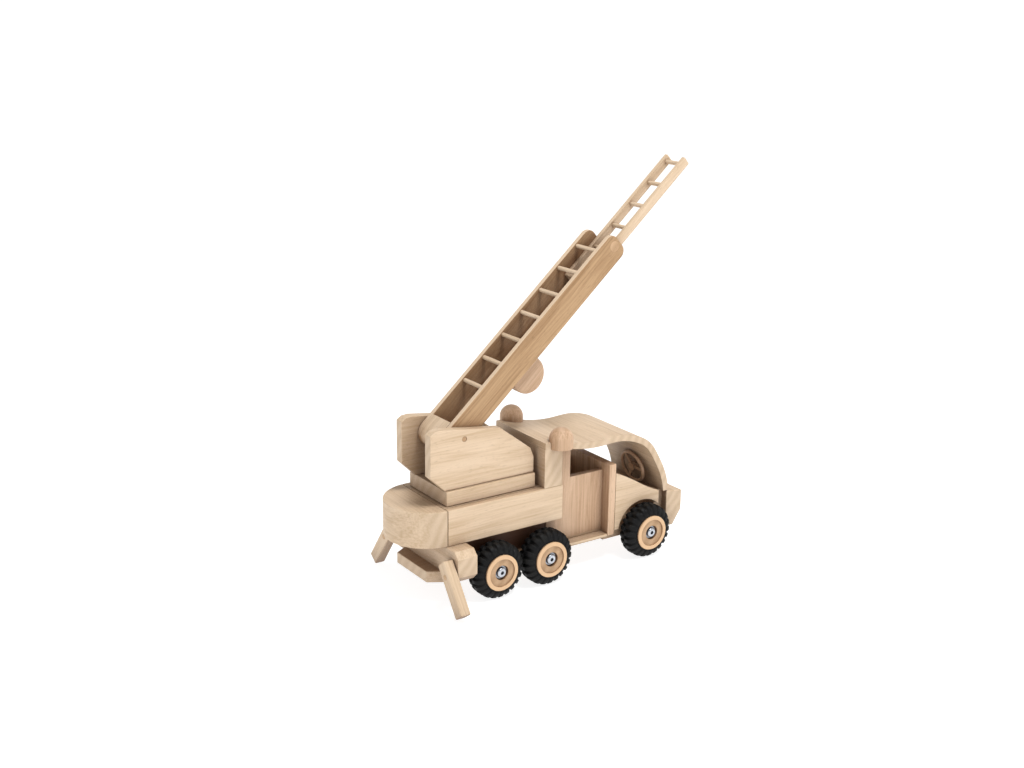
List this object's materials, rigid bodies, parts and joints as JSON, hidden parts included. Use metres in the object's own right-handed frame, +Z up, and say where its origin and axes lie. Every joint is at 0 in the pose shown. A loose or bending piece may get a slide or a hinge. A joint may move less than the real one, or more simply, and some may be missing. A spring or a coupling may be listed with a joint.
{
  "type": "toy fire engine",
  "caption": "Wooden toy fire engine with six rubber-tyred wheels, fold-out legs and a pitching ladder whose inner ladder slides out when a knob on a cord is pulled down.",
  "frame": {"origin": "On the floor, at the middle of the toy's own box: centred lengthwise between the rear block and the ladder's tip, and centred across the toy.", "axes": "+X points forward to the cab and bumper, +Y to the toy's left, +Z up."},
  "size_m": [0.3142, 0.159, 0.3719],
  "materials": {
    "solid_wood": "pale beech boards, sanded and oiled, satin",
    "turned_wood": "pale beech turned across the end grain, satin",
    "dowel_wood": "plain beech dowel, satin",
    "dark_wood": "darker stained wood, satin",
    "tyre_rubber": "matt black rubber with chunky tread",
    "zinc_steel": "bright zinc plated steel",
    "cotton_cord": "twisted natural cotton cord"
  },
  "bodies": {
    "chassis": {"beacon_left": "solid_wood", "beacon_right": "solid_wood", "bed_deck": "solid_wood", "bed_riser": "solid_wood", "bed_side_left": "solid_wood", "bed_side_right": "solid_wood", "bumper": "solid_wood", "cab_back_panel": "solid_wood", "cab_partition": "solid_wood", "cab_rear_wall": "solid_wood", "cab_side_left": "solid_wood", "cab_side_right": "solid_wood", "chassis_board": "solid_wood", "front_side_left": "solid_wood", "front_side_right": "solid_wood", "inner_washers": "zinc_steel", "leg_pins": "dowel_wood", "nose_block": "solid_wood", "outer_washers": "zinc_steel", "outrigger_beam": "solid_wood", "roof_panel": "solid_wood", "running_board_left": "solid_wood", "running_board_right": "solid_wood", "steering_column": "dark_wood", "tail_block": "solid_wood", "turret_pivot": "zinc_steel", "wheel_screws": "zinc_steel"},
    "turret": {"turret_plate": "solid_wood", "turret_cheek_left": "solid_wood", "turret_cheek_right": "solid_wood", "ladder_hinge_pin": "dowel_wood"},
    "ladder": {"outer_rail_left": "solid_wood", "outer_rail_right": "solid_wood", "outer_rungs": "dowel_wood", "ladder_foot": "solid_wood", "guide_strips": "solid_wood", "rail_plugs": "dowel_wood", "cord_rollers": "dowel_wood", "pull_cord": "cotton_cord"},
    "inner_ladder": {"inner_rail_left": "solid_wood", "inner_rail_right": "solid_wood", "inner_rungs": "dowel_wood", "inner_crossbar": "solid_wood"},
    "knob": {"pull_knob": "solid_wood"},
    "left_leg": {"leg_left": "solid_wood"},
    "right_leg": {"leg_right": "solid_wood"},
    "steering": {"steering_wheel": "dark_wood"},
    "rear_left_wheel": {"tyre_rear_left": "tyre_rubber", "hub_rear_left": "turned_wood"},
    "rear_right_wheel": {"tyre_rear_right": "tyre_rubber", "hub_rear_right": "turned_wood"},
    "middle_left_wheel": {"tyre_middle_left": "tyre_rubber", "hub_middle_left": "turned_wood"},
    "middle_right_wheel": {"tyre_middle_right": "tyre_rubber", "hub_middle_right": "turned_wood"},
    "front_left_wheel": {"tyre_front_left": "tyre_rubber", "hub_front_left": "turned_wood"},
    "front_right_wheel": {"tyre_front_right": "tyre_rubber", "hub_front_right": "turned_wood"}
  },
  "joints": [
    {"name": "rear_left_wheel_spin", "type": "hinge", "parent": "chassis", "child": "rear_left_wheel", "pos_m": [-0.07461, 0.0452, 0.026], "axis": [0, 1, 0], "continuous": true},
    {"name": "rear_right_wheel_spin", "type": "hinge", "parent": "chassis", "child": "rear_right_wheel", "pos_m": [-0.07461, -0.0452, 0.026], "axis": [0, 1, 0], "continuous": true},
    {"name": "middle_left_wheel_spin", "type": "hinge", "parent": "chassis", "child": "middle_left_wheel", "pos_m": [-0.02061, 0.0452, 0.026], "axis": [0, 1, 0], "continuous": true},
    {"name": "middle_right_wheel_spin", "type": "hinge", "parent": "chassis", "child": "middle_right_wheel", "pos_m": [-0.02061, -0.0452, 0.026], "axis": [0, 1, 0], "continuous": true},
    {"name": "front_left_wheel_spin", "type": "hinge", "parent": "chassis", "child": "front_left_wheel", "pos_m": [0.09639, 0.0452, 0.026], "axis": [0, 1, 0], "continuous": true},
    {"name": "front_right_wheel_spin", "type": "hinge", "parent": "chassis", "child": "front_right_wheel", "pos_m": [0.09639, -0.0452, 0.026], "axis": [0, 1, 0], "continuous": true},
    {"name": "turret_swivel", "type": "hinge", "parent": "chassis", "child": "turret", "pos_m": [-0.06861, 0, 0.0888], "axis": [0, 0, 1], "range_deg": [-7, 7]},
    {"name": "ladder_pitch", "type": "hinge", "parent": "turret", "child": "ladder", "pos_m": [-0.09761, 0, 0.147], "axis": [0, -1, 0], "range_deg": [-20, 73]},
    {"name": "ladder_slide", "type": "slide", "parent": "ladder", "child": "inner_ladder", "axis": [0.7431, 0, 0.6691], "range_m": [-0.125, 0]},
    {"name": "knob_slide", "type": "slide", "parent": "ladder", "child": "knob", "axis": [0.7431, 0, 0.6691], "range_m": [0, 0.125]},
    {"name": "left_leg_fold", "type": "hinge", "parent": "chassis", "child": "left_leg", "pos_m": [-0.12761, 0.0535, 0.035], "axis": [1, 0, 0], "range_deg": [0, 144]},
    {"name": "right_leg_fold", "type": "hinge", "parent": "chassis", "child": "right_leg", "pos_m": [-0.12761, -0.0535, 0.035], "axis": [-1, 0, 0], "range_deg": [0, 144]},
    {"name": "steering_spin", "type": "hinge", "parent": "chassis", "child": "steering", "pos_m": [0.11089, -0.006, 0.0755], "axis": [0.9659, 0, 0.2588], "continuous": true}
  ],
  "couplings": [
    {"joint": "knob_slide", "follows": "ladder_slide", "ratio": -1}
  ]
}
